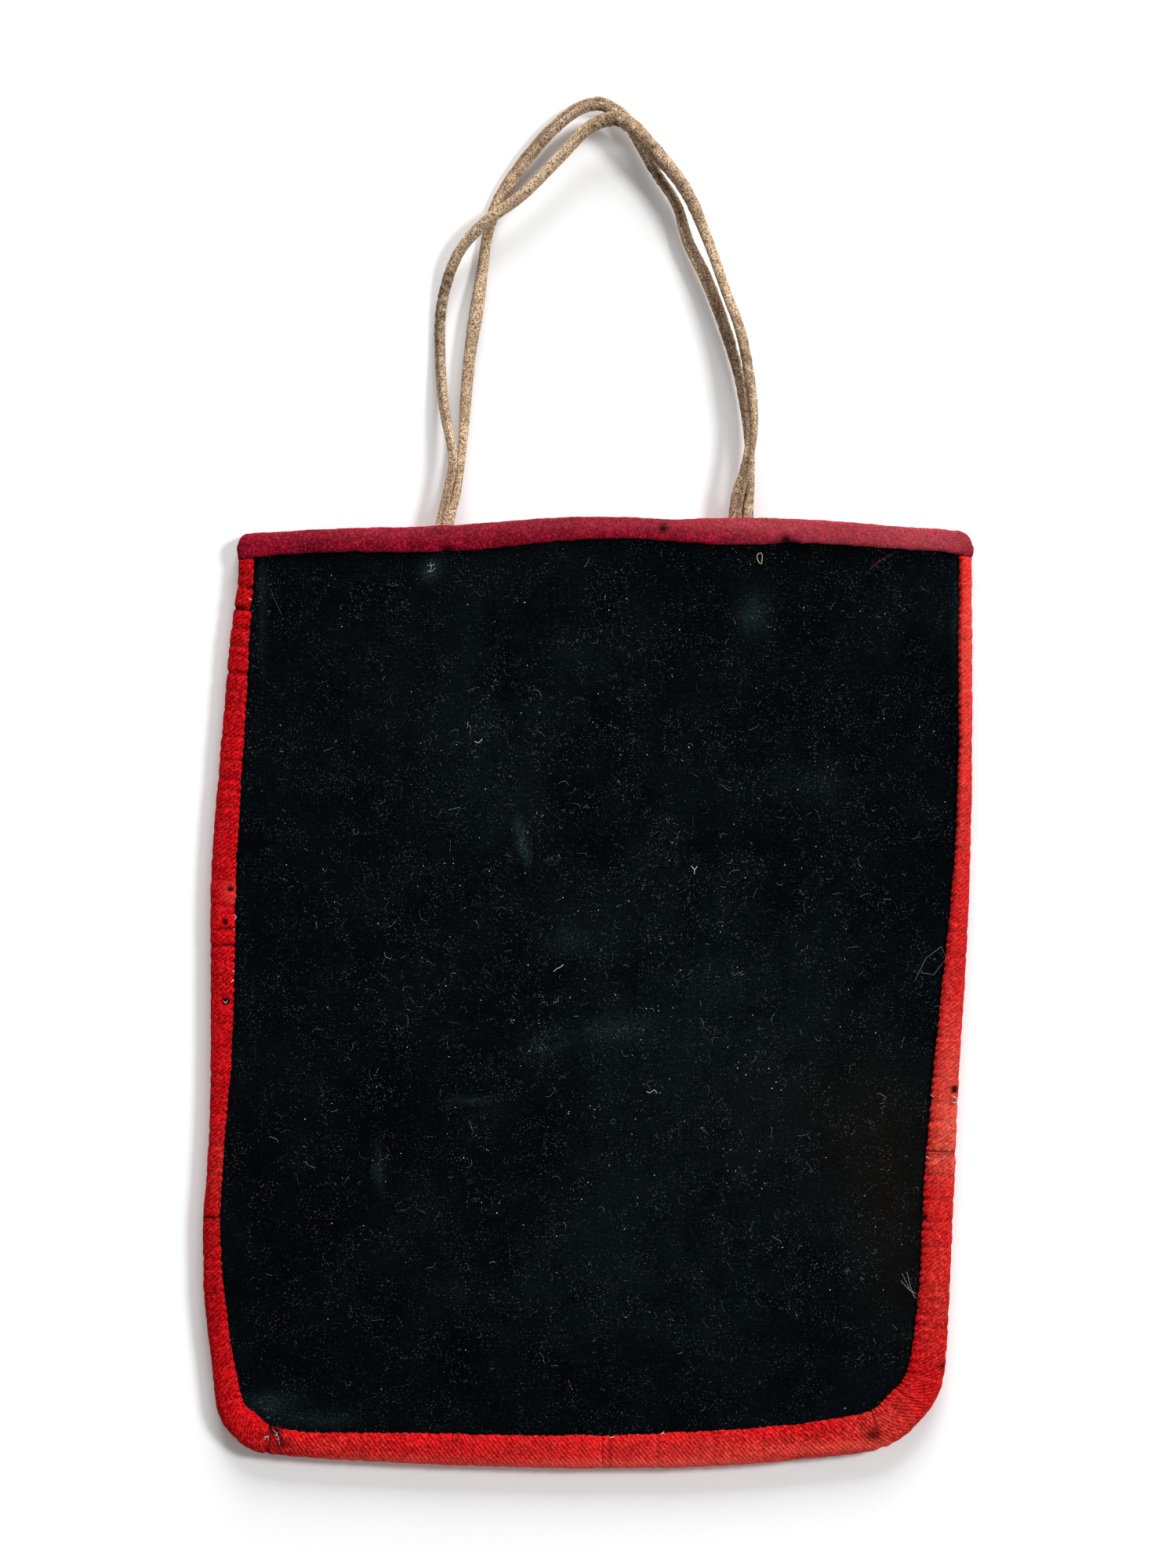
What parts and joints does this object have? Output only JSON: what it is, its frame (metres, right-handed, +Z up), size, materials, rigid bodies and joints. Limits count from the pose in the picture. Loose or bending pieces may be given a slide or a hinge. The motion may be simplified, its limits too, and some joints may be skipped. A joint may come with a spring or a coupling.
{
  "type": "beaded flat bag",
  "caption": "Flat hand bag with a plain beaded front, black velvet back, red wool binding, crimson mouth band and two looped buckskin thong handles, lying on its beads.",
  "frame": {"origin": "on the flat face of the bead field that the bag rests on, under the middle of the bag's body without its handles", "axes": "+Y from the bag's bottom to its mouth and handles, +X across the bag, +Z up through the lying bag from its beaded front to its velvet back"},
  "size_m": [0.2453, 0.4367, 0.0134],
  "materials": {
    "beads": "small opaque pale blue glass seed beads sewn in even rows",
    "canvas": "plain undyed canvas that the beads are sewn to",
    "velvet": "black cotton velvet, worn and linty, with thin rubbed patches",
    "red_wool": "scarlet wool twill, napped and moth-eaten",
    "crimson_wool": "crimson plain-woven wool, worn",
    "buckskin": "smoked buckskin, napped, with dark handling grime"
  },
  "bodies": {
    "root": {"bead_field": "beads", "front_panel": "canvas", "back_panel": "velvet", "left_top_binding": "red_wool", "left_binding": "red_wool", "bottom_left_binding": "red_wool", "bottom_right_binding": "red_wool", "right_binding": "red_wool", "mouth_binding": "crimson_wool", "inner_handle": "buckskin", "outer_handle": "buckskin"}
  },
  "joints": []
}
